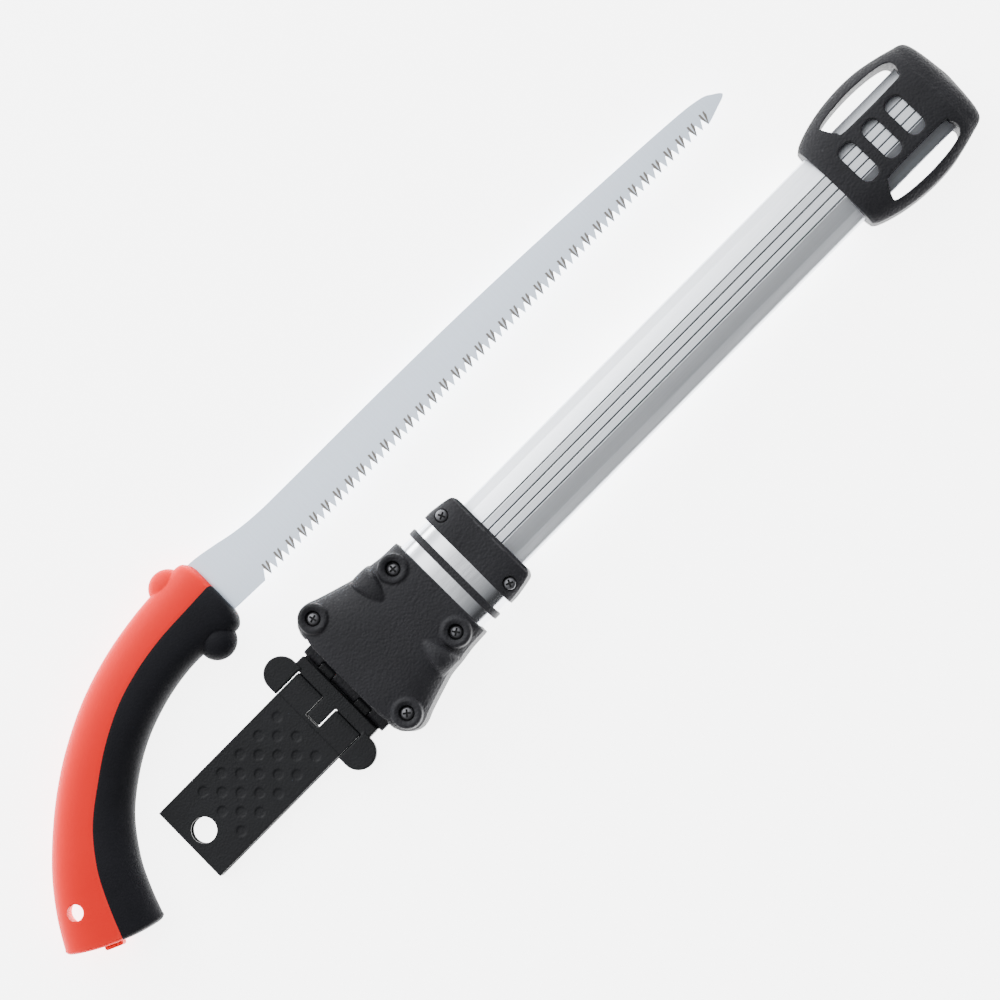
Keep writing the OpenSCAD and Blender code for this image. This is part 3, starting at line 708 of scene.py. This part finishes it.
def arch_ring(x, side, power, direction):
    """Arch section of one shell: outer skin one way, inner skin back."""
    n = 40
    w = curve_value(MOUTH_HALF, x)
    h = curve_value(side, x)
    ring = []
    for inner in (0, 1):
        half_w = w - WALL * inner
        top = h - WALL * inner
        wide = (w + SIDE_RUN[direction]) - WALL * inner
        row = []
        for k in range(n + 1):
            y = -half_w + 2 * half_w * k / n
            z = top * max(1 - abs(y / wide) ** power, 0) ** (1 / power)
            row.append((x, y, direction * z))
        row = [(x, -half_w, 0)] + row + [(x, half_w, 0)]
        ring += row if not inner else row[::-1]
    return ring


def boss_profile(top, direction):
    """Boss with a rounded rim and a shallow dished face."""
    rim = [(BOSS_R - 1.5 + 1.5 * math.sin(math.radians(a)), top - 1.5 + 1.5 * math.cos(math.radians(a)))
           for a in range(0, 91, 15)]
    profile = [(0, top - 0.5), (4.4, top - 0.5), (5.2, top)] + rim + [(BOSS_R, 1), (0, 1)]
    return [(r, direction * z) for r, z in profile]


def make_mouth_shell(name, node, side, power, direction, material):
    """Half shell of the mouth; direction is 1 for the front and -1 for the back."""
    stations = [MOUTH_L * k / 44 for k in range(45)]
    shell = loft(name, [arch_ring(x, side, power, direction) for x in stations], SHEATH)
    for x, y, top in AXLES:
        boss = lathe("boss", boss_profile(top, direction), (x, y, 0), origin=SHEATH)
        add(shell, boss)
    inside = []
    for x, y, top in AXLES:
        z = sorted((direction * -1, direction * BUSH_END))
        inside.append(rod("pocket", 6.2, z[0], z[1], (x, y), origin=SHEATH))
        if direction > 0:
            profile = [(0, SEAT_TOP), (SCREW_ROOM, SEAT_TOP), (SCREW_ROOM, top - 1),
                       (4.2, top + 3), (0, top + 3)]
            inside.append(lathe("recess", profile, (x, y, 0), origin=SHEATH))
        else:
            seat = -SEAT_TOP - 0.4
            inside.append(lathe("nut_pocket", [(0, -20), (SCREW_ROOM, -20), (SCREW_ROOM, seat), (0, seat)],
                                (x, y, 0), 6, SHEATH))
    low, high = sorted((direction * -1, direction * BUSH_END))
    entry = [(-ENTRY_HALF_W, low), (ENTRY_HALF_W, low), (ENTRY_HALF_W, high), (-ENTRY_HALF_W, high)]
    inside.append(bar_x("entry", entry, -2, 3, SHEATH))
    inside.append(bar_x("sleeve_seat", power_oval(SLEEVE_HALF[0] - 0.2, SLEEVE_HALF[1] - 0.2, 3, 64),
                        MOUTH_L - 12, MOUTH_L + 1, SHEATH))
    cut(shell, *inside)
    if direction > 0:
        for s in (1, -1):
            add(shell, bulge(s))
    else:
        add(shell, *lip_blocks())
    moulded(shell, 0.42, 3)
    finish_piece(shell, "scabbard", [material], [node])


def bulge(s):
    """Pointed swelling that runs in from the shell's side, beside an inner roller."""
    rings = []
    for k in range(25):
        u = k / 24
        y = 9.8 + 21.2 * u
        r = 6.4 * max(1 - (1 - u) ** 1.7, 0.02)
        wide = curve_value(MOUTH_HALF, BULGE_X) + SIDE_RUN[1]
        skin = FRONT_T * (1 - (y / wide) ** FRONT_POWER) ** (1 / FRONT_POWER)
        z = skin - 0.7 - 1.5 * (1 - u) ** 3
        ring = [(BULGE_X + r * math.cos(math.radians(t)), s * y, z + 0.85 * r * math.sin(math.radians(t)))
                for t in range(0, 181, 12)]
        rings.append(ring + [(BULGE_X - r, s * y, z - 0.6), (BULGE_X + r, s * y, z - 0.6)])
    return loft("bulge", rings, SHEATH)


PIN_X, PIN_Z = -4.4, 2.9
LIP_HALF_W = 26.5


def lip_blocks():
    """Rounded lip on the back shell, with slots for the hanger's lugs."""
    r = 2.3
    arc = [(PIN_X - r * math.sin(math.radians(a)), PIN_Z + r * math.cos(math.radians(a)))
           for a in range(0, 181, 15)]
    outline = [(3.4, PIN_Z + r)] + arc + [(3.4, PIN_Z - r)]
    spans = [(-LIP_HALF_W, -16.25), (-7.75, 7.75), (16.25, LIP_HALF_W)]
    blocks = [loft("lip", [[(x, y, z) for x, z in outline] for y in span], GROUND_SHEATH) for span in spans]
    web = loft("lip_web", [[(x, y, z) for y, z in ((-LIP_HALF_W, PIN_Z - r), (LIP_HALF_W, PIN_Z - r),
                                                   (LIP_HALF_W, PIN_Z + r), (-LIP_HALF_W, PIN_Z + r))]
                           for x in (-2.42, 3.4)], GROUND_SHEATH)
    return blocks + [web]


def make_mouth():
    make_mouth_shell("mouth_front_shell", "mouth_front", FRONT_SIDE, FRONT_POWER, 1, nylon)
    make_mouth_shell("mouth_back_shell", "mouth_back", BACK_SIDE, 6, -1, nylon)
    screws = [screw_head(f"mouth_screw_{i}", SHEATH + Vector((x, y, SEAT_TOP)), 3.1, 1.9, 14 + 37 * i,
                         1.68, 24.6) for i, (x, y, _) in enumerate(AXLES)]
    group = join(screws[0], screws[1:])
    group.name = "roller_screw_heads"
    finish_piece(group, "scabbard", [dark_screw, recess], ["roller_screws"], 35)


def make_roller(name):
    """Rubber roller with three shallow grooves and rounded rims."""
    lo, hi = box_mm(name)
    r = (hi.x - lo.x) / 2
    half = (hi.z - lo.z) / 2
    profile = [(2.66, -half), (r - 1.2, -half)]
    profile += [(r - 1.2 + 1.2 * math.sin(math.radians(a)), -half + 1.2 - 1.2 * math.cos(math.radians(a)))
                for a in range(15, 91, 15)]
    for centre in (-half / 2, 0, half / 2):
        profile += [(r, centre - 0.6), (r - 0.45, centre - 0.25),
                    (r - 0.45, centre + 0.25), (r, centre + 0.6)]
    profile += [(r - 1.2 + 1.2 * math.cos(math.radians(a)), half - 1.2 + 1.2 * math.sin(math.radians(a)))
                for a in range(0, 91, 15)]
    profile += [(2.66, half), (2.66, -half)]
    obj = lathe(name + "_tyre", profile, ((lo.x + hi.x) / 2, (lo.y + hi.y) / 2, SHEATH.z))
    finish_piece(obj, name, [roller_rubber], [name], 40)


make_mouth()
for roller_name in ("outer_roller_left", "outer_roller_right", "inner_roller_left", "inner_roller_right"):
    make_roller(roller_name)

# ---------- sleeve, collar, tube and cap ----------

TUBE_WALL = 1.4
GROOVES = (6.5, 2.2)  # distance of the tube's grooves from its middle
GROOVE_DEPTH = 0.6


def tube_outline(wall):
    """The tube's section with its four small grooves."""
    w = (tube_hi.y - tube_lo.y) / 2 - wall
    h = (tube_hi.z - tube_lo.z) / 2 - wall
    quarter = smooth_curve([(w, 0), (w - 0.6, 2.2), (w - 2.6, 3.9), (w - 6, h * 0.66)], 5)
    quarter.append((7.2, h - 0.3))
    if wall:
        quarter.append((0, h))
    else:
        for g in GROOVES:
            quarter += [(g + 0.42, h), (g + 0.16, h - GROOVE_DEPTH), (g - 0.16, h - GROOVE_DEPTH),
                        (g - 0.42, h)]
    top = quarter + [(-y, z) for y, z in reversed(quarter) if y > 0]
    return top + [(y, -z) for y, z in reversed(top) if abs(z) > 1e-6]


def hollow_bar(name, outer, inner, x0, x1):
    bar = bar_x(name, outer, x0, x1)
    core = bar_x("core", inner, x0 - 1, x1 + 1)
    return cut(bar, core)


def shifted(outline):
    return [(y + SHEATH.y, z + SHEATH.z) for y, z in outline]


def make_tube():
    tube = hollow_bar("tube_extrusion", shifted(tube_outline(0)), shifted(tube_outline(TUBE_WALL)),
                      tube_lo.x, tube_hi.x)
    edge_rounded(tube, 0.12, 1, 50)
    half_t = tube_hi.z - SHEATH.z
    # The groove faces get the darker metal, which paints the shade in the grooves.
    for p in tube.data.polygons:
        y, z = abs(p.center.y - SHEATH.y), abs(p.center.z - SHEATH.z)
        gets_groove_shade = min(abs(y - g) for g in GROOVES) < 0.4 and half_t - 0.8 < z < half_t - 0.1
        if gets_groove_shade and abs(p.normal.x) < 0.5:
            p.material_index = 1
    finish_piece(tube, "scabbard", [tube_metal, groove_painted_shade], ["scabbard_tube"], 28)


def make_sleeve():
    w, h = SLEEVE_HALF
    sleeve = hollow_bar("sleeve_tube", shifted(power_oval(w, h, 3, 96)),
                        shifted(power_oval(w - 1.6, h - 1.6, 3, 96)), sleeve_lo.x, sleeve_hi.x)
    finish_piece(sleeve, "scabbard", [sleeve_metal], ["joint_sleeve"], 40)
    rw, rh = (ring_hi.y - ring_lo.y) / 2, (ring_hi.z - ring_lo.z) / 2
    x0, x1 = ring_lo.x, ring_hi.x
    rings = [[(x, y, z) for y, z in shifted(power_oval(rw - d, rh - d, 3, 96))]
             for x, d in ((x0, 0.5), (x0 + 0.15, 0.15), (x0 + 0.5, 0),
                          (x1 - 0.5, 0), (x1 - 0.15, 0.15), (x1, 0.5))]
    ring = loft("sleeve_band", rings)
    cut(ring, bar_x("hole", shifted(power_oval(w, h, 3, 96)), x0 - 1, x1 + 1))
    finish_piece(ring, "scabbard", [nylon], ["sleeve_ring"], 40)


COLLAR_HALF = [(79.6, 28), (84, 27.9), (92, 26.5), (95.4, 25.3), (96.7, 23)]
COLLAR_SCREW = (85.9, 22.4)


def make_collar():
    """Front and back half of the collar, with their screws."""
    half_t = collar_hi.z - SHEATH.z
    x0, x1 = collar_lo.x - SHEATH.x, collar_hi.x - SHEATH.x
    for name, node, direction in (("collar_front_shell", "collar_front", 1),
                                  ("collar_back_shell", "collar_back", -1)):
        rings = []
        for k in range(19):
            x = x0 + (x1 - x0) * k / 18
            w = curve_value(COLLAR_HALF, x)
            arc = [(w * (1 - 2 * i / 48), 0) for i in range(49)]
            ring = [(x, y, direction * (half_t - (1.2 if x > x1 - 1.5 else 0))
                     * max(1 - abs(y / 29) ** 3.6, 0) ** (1 / 3.6)) for y, _ in arc]
            rings.append([(x, w, 0)] + ring + [(x, -w, 0)])
        shell = loft(name, rings, SHEATH)
        cut(shell, bar_x("seat", shifted(power_oval(*SLEEVE_HALF, 3, 64)), collar_lo.x - 1, sleeve_hi.x))
        cut(shell, bar_x("way", shifted(tube_outline(0)), sleeve_hi.x - 2, collar_hi.x + 1))
        for s in (1, -1):
            x, y = COLLAR_SCREW[0], s * COLLAR_SCREW[1]
            if direction > 0:
                hole = rod("hole", 3.3, half_t - 3.4, half_t + 9, (x, y), origin=SHEATH)
            else:
                hole = rod("hole", 3.2, -half_t - 9, 2.4 - half_t, (x, y), 6, SHEATH)
            cut(shell, hole)
        moulded(shell, 0.36, 3)
        finish_piece(shell, "scabbard", [nylon], [node])
    screws = [screw_head(f"collar_screw_{s}",
                         SHEATH + Vector((COLLAR_SCREW[0], s * COLLAR_SCREW[1], half_t - 3.4)),
                         3, 1.9, 25 * s, 1.4, 20.8) for s in (1, -1)]
    group = join(screws[0], screws[1:])
    group.name = "collar_screw_heads"
    finish_piece(group, "scabbard", [dark_screw, recess], ["collar_screws"], 35)


CAP_X0 = cap_lo.x - SHEATH.x
CAP_X1 = cap_hi.x - SHEATH.x
CAP_T = cap_hi.z - SHEATH.z
CAP_HALF = [(324, 24.2), (325.6, 25.6), (331, 27.8), (339, 30), (348, 31.5), (359, 32.2), (370, 31.6),
            (380, 29.6), (389, 27.2), (394, 25.6), (396.4, 22), (397.9, 14), (398.8, 2)]
CAP_SIDE = [(324, CAP_T - 1), (332, CAP_T), (380, CAP_T), (390, CAP_T - 1.2), (395.5, CAP_T - 3.5),
            (398, CAP_T - 6.5), (398.8, 4)]
SLOT = [(338.2, 24.2), (339.6, 20.6), (342.2, 16.8), (346, 14.6), (379, 14.6), (382.6, 16.8), (384, 20.6),
        (382.4, 23.6), (378, 25.2), (370, 26.4), (359, 26.9), (348, 26.3), (341, 25.2)]
WINDOWS = (339.3, 354.6, 369.9)


def make_cap():
    """Tip cap with two strap slots and three windows onto the tube."""
    stations = [CAP_X0 + (CAP_X1 - CAP_X0) * (1 - (1 - k / 60) ** 1.35) for k in range(61)]
    rings = []
    for x in stations:
        w, h = curve_value(CAP_HALF, x), curve_value(CAP_SIDE, x)
        rings.append([(x, max(min(y, w), -w), z) for y, z in power_oval(max(w + 1.2, 3), h, 2.5, 80)])
    cap = loft("cap_shell", rings, SHEATH)
    cut(cap, bar_x("tube_way", shifted(tube_outline(-0.05)), cap_lo.x - 2, tube_hi.x + 0.2))
    slot = smooth_curve(SLOT + [SLOT[0]], 4)[:-1]
    for s in (1, -1):
        cut(cap, prism("slot", [(x, s * y) for x, y in slot], -30, 30, SHEATH))
    for x in WINDOWS:
        cut(cap, prism("window", round_outline(x - 4.8, x + 4.8, -10.7, 10.7, 3.8), 0, 30, SHEATH))
    moulded(cap, 0.42, 3)
    finish_piece(cap, "scabbard", [nylon], ["tip_cap"])


make_tube()
make_sleeve()
make_collar()
make_cap()

# ---------- belt hanger ----------

LOOP_X0 = strap_lo.x - SHEATH.x
LOOP_W = (flap_hi.y - flap_lo.y) / 2
LAYER_T = 2.2
PRONG_ROOT = -28.2
PRONG_END = flap_hi.x - SHEATH.x
PRONG_IN = 4.4
STRAP_Z = strap_lo.z
FLAP_Z = flap_hi.z - LAYER_T
FOLD_Z = (STRAP_Z + LAYER_T + FLAP_Z) / 2
HANG_X = -98.4
HANG_R = 6.25
BAR = (-14.1, -7.1)


def layer_outline(x_end):
    """Plan of one layer: a plate whose far end divides into two prongs."""
    w = LOOP_W
    return ([(LOOP_X0, -w), (x_end, -w), (x_end, -PRONG_IN), (PRONG_ROOT + 2, -PRONG_IN),
             (PRONG_ROOT + 2, PRONG_IN), (x_end, PRONG_IN), (x_end, w), (LOOP_X0, w)])


def make_flap():
    """Front layer of the loop, with two prongs, a step and rows of dimples."""
    flap = prism("flap_plate", layer_outline(PRONG_END), FLAP_Z, FLAP_Z + LAYER_T, GROUND_SHEATH)
    end_wall = prism("end_wall", [(LOOP_X0, -LOOP_W), (LOOP_X0 + LAYER_T, -LOOP_W),
                                  (LOOP_X0 + LAYER_T, LOOP_W), (LOOP_X0, LOOP_W)],
                     FOLD_Z + 0.25, FLAP_Z + 0.5, GROUND_SHEATH)
    add(flap, end_wall)
    cut(flap, rod("hang", HANG_R, 0, 20, (HANG_X, 0), origin=GROUND_SHEATH))
    step = prism("step", round_outline(PRONG_ROOT - 0.1, PRONG_END + 5, -30, 30, 0.05, 1),
                 FLAP_Z + LAYER_T - 0.35, FLAP_Z + LAYER_T + 2, GROUND_SHEATH)
    cut(flap, step)
    ramp = loft("ramp", [[(-18.5, y, FLAP_Z + LAYER_T), (-10, y, FLAP_Z + 0.3), (-10, y, FLAP_Z + 6)]
                         for y in (-30, 30)], GROUND_SHEATH)
    cut(flap, ramp)
    for i in range(5):
        for j in range(-2, 3):
            x = -86 + (i + (abs(j) % 2) / 2) * 12.4
            if x > PRONG_ROOT - 5:
                continue
            cut(flap, lathe("dimple", [(0, 0), (2.2, 0.06), (2.75, 0.55), (2.9, 2), (0, 2)],
                            (x, j * 6.5, FLAP_Z + LAYER_T - 0.42), 28, GROUND_SHEATH))
    moulded(flap, 0.3, 2)
    finish_piece(flap, "hanger_flap", [hanger_nylon], ["hanger_flap"])


def make_strap():
    strap = prism("strap_plate", layer_outline(BAR[1]), STRAP_Z, STRAP_Z + LAYER_T, GROUND_SHEATH)
    end_wall = prism("end_wall", [(LOOP_X0, -LOOP_W), (LOOP_X0 + LAYER_T, -LOOP_W),
                                  (LOOP_X0 + LAYER_T, LOOP_W), (LOOP_X0, LOOP_W)],
                     STRAP_Z + LAYER_T - 0.5, FOLD_Z - 0.25, GROUND_SHEATH)
    add(strap, end_wall)
    cut(strap, rod("hang", HANG_R, -5, 20, (HANG_X, 0), origin=GROUND_SHEATH))
    moulded(strap, 0.36, 2)
    finish_piece(strap, "hanger", [hanger_nylon], ["hanger_strap"])


def make_keeper():
    """Cross bar with tongue, ears, and lugs round the pin."""
    w = (keeper_hi.y - keeper_lo.y) / 2
    ear_y = w - 8.5
    ear_in = LOOP_W + 0.5
    z1 = keeper_hi.z
    bar = prism("keeper_frame", round_outline(BAR[0], BAR[1], -24.8, 24.8, 1), STRAP_Z + LAYER_T, z1 - 0.4,
                GROUND_SHEATH)
    parts = [prism("tongue", round_outline(-25.5, BAR[0] + 1, -3.8, 3.8, 0.5), FLAP_Z, FLAP_Z + LAYER_T,
                   GROUND_SHEATH)]
    for s in (1, -1):
        arc = [(-20.8 + 8.5 * math.cos(math.radians(a)), s * (ear_y + 8.5 * math.sin(math.radians(a))))
               for a in range(0, 181, 6)]
        parts.append(prism("ear", arc + [(-29.3, s * ear_in), (-12.3, s * ear_in)], z1 - 4.2, z1,
                           GROUND_SHEATH))
        knuckle = [(PIN_X + 2.1 * math.cos(math.radians(a)), PIN_Z + 2.1 * math.sin(math.radians(a)))
                   for a in range(-105, 106, 15)]
        outline = [(BAR[1] - 0.5, 2.6), (PIN_X - 0.6, PIN_Z - 2.0)] + knuckle + [(BAR[1] - 0.5, PIN_Z + 2.1)]
        parts.append(loft("lug", [[(x, s * y, z) for x, z in outline] for y in (7.9, 16.1)], GROUND_SHEATH))
    arc = [math.radians(a) for a in range(165, 261, 5)]
    cradle = ([(PIN_X + 2.42 * math.cos(a), PIN_Z + 2.42 * math.sin(a)) for a in arc]
              + [(PIN_X + 2.86 * math.cos(a), PIN_Z + 2.86 * math.sin(a)) for a in reversed(arc)])
    shield = loft("hinge_shield", [[(x, y, z) for x, z in cradle] for y in (-24.6, 24.6)], GROUND_SHEATH)
    add(bar, *parts)
    moulded(bar, 0.34, 3)
    join(bar, [shield])
    finish_piece(bar, "hanger", [hanger_nylon], ["hanger_keeper"])


def make_fold():
    """Thin moulded fold that joins flap and strap at the loop's end."""
    x0 = LOOP_X0
    t = 0.7
    n = 14
    rings = []
    for k in range(n + 1):
        z = FOLD_Z - 1.6 + 3.2 * k / n
        rings.append([(x0 - 0.05, -LOOP_W + 0.5, z), (x0 - 0.05, LOOP_W - 0.5, z),
                      (x0 + t, LOOP_W - 0.5, z), (x0 + t, -LOOP_W + 0.5, z)])
    fold = loft("loop_fold", rings, GROUND_SHEATH)
    fold.data.transform(Matrix.Scale(MM, 4))
    shade(fold, 40)
    fold.data.materials.append(hanger_nylon)
    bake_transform(fold)


make_flap()
make_strap()
make_keeper()
make_fold()

# ---------- CAD nodes that stay ----------

STAYING = {"blade_inserts": brass, "roller_bushes": zinc, "roller_nuts": zinc, "collar_nuts": zinc,
           "hanger_pin": zinc}
for node_name, node_material in STAYING.items():
    node_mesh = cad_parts[node_name].data
    node_mesh.materials.clear()
    node_mesh.materials.append(node_material)

# ---------- floor, light and camera ----------


def make_floor():
    mesh = bpy.data.meshes.new("floor")
    size = 4
    mesh.from_pydata([(-size, -size, 0), (size, -size, 0), (size, size, 0), (-size, size, 0)], [],
                     [(0, 1, 2, 3)])
    floor = bpy.data.objects.new("floor", mesh)
    bpy.context.scene.collection.objects.link(floor)
    floor.location.z = -0.0002
    s = Shader("pale_floor", Roughness=0.85)
    s.link(s.ramp(s.noise(3, 2), [(0.3, (0.86,) * 3), (0.7, (0.88,) * 3)]), s.bsdf.inputs["Base Color"])
    s.bsdf.inputs["Emission Color"].default_value = (1, 1, 1, 1)
    s.bsdf.inputs["Emission Strength"].default_value = FLOOR_GLOW
    mesh.materials.append(s.material)


def area_light(name, at, size, power, target):
    data = bpy.data.lights.new(name, "AREA")
    data.shape = "RECTANGLE"
    data.size, data.size_y = size
    data.energy = power
    light = bpy.data.objects.new(name, data)
    light.location = at
    light.rotation_euler = (target - Vector(at)).to_track_quat("-Z", "Y").to_euler()
    bpy.context.scene.collection.objects.link(light)


SKY_LEVELS = ((0.15, 0.05), (0.5, 0.62), (0.72, 2.0))  # brightness from the -Y side up over to +Y
SKY_LIGHT = 1.0
KEY_LIGHT = 14
TOP_LIGHT = 4.5
FLOOR_GLOW = 5.5


def make_light(target):
    """Sky that brightens towards +Y, and two area lights on that side."""
    world = bpy.data.worlds.new("studio")
    bpy.context.scene.world = world
    world.use_nodes = True
    tree = world.node_tree
    sky = tree.nodes["Background"]
    sky.inputs["Strength"].default_value = SKY_LIGHT
    ramp = tree.nodes.new("ShaderNodeValToRGB")
    ramp.color_ramp.elements.new(0.5)
    for element, (place, level) in zip(ramp.color_ramp.elements, SKY_LEVELS):
        element.position = place
        element.color = (level * 0.97, level * 0.985, level, 1)
    split = tree.nodes.new("ShaderNodeSeparateXYZ")
    shift = tree.nodes.new("ShaderNodeMath")
    shift.operation = "MULTIPLY_ADD"
    shift.inputs[1].default_value, shift.inputs[2].default_value = 0.5, 0.5
    tree.links.new(tree.nodes.new("ShaderNodeTexCoord").outputs["Generated"], split.inputs[0])
    tree.links.new(split.outputs["Y"], shift.inputs[0])
    tree.links.new(shift.outputs[0], ramp.inputs["Fac"])
    tree.links.new(ramp.outputs["Color"], sky.inputs["Color"])
    area_light("key_light", (-0.15, 1.5, 0.85), (0.9, 0.5), KEY_LIGHT, target)
    area_light("top_light", (0.0, 0.6, 1.7), (1.2, 0.6), TOP_LIGHT, target)


VIEW_W = 0.4695  # width of the view at the target, in metres
VIEW_DISTANCE = 1.31
VIEW_ELEVATION = 83.5
VIEW_ROLL = 45.34


def make_camera(target):
    """Camera nearly overhead, rolled so that the saw lies along the picture's diagonal."""
    e, roll = math.radians(VIEW_ELEVATION), math.radians(VIEW_ROLL)
    back = Vector((0, -math.cos(e), math.sin(e)))
    right0 = Vector((1, 0, 0))
    up0 = back.cross(right0)
    right = right0 * math.cos(roll) - up0 * math.sin(roll)
    up = right0 * math.sin(roll) + up0 * math.cos(roll)
    data = bpy.data.cameras.new("camera")
    data.sensor_width = 36
    data.lens = data.sensor_width * VIEW_DISTANCE / VIEW_W
    camera = bpy.data.objects.new("camera", data)
    turn = Matrix((right, up, back)).transposed()
    camera.matrix_world = Matrix.Translation(target + back * VIEW_DISTANCE) @ turn.to_4x4()
    bpy.context.scene.collection.objects.link(camera)
    bpy.context.scene.camera = camera


view_target = Vector((3.25, -21.65, 15)) * MM
make_floor()
make_light(view_target)
make_camera(view_target)
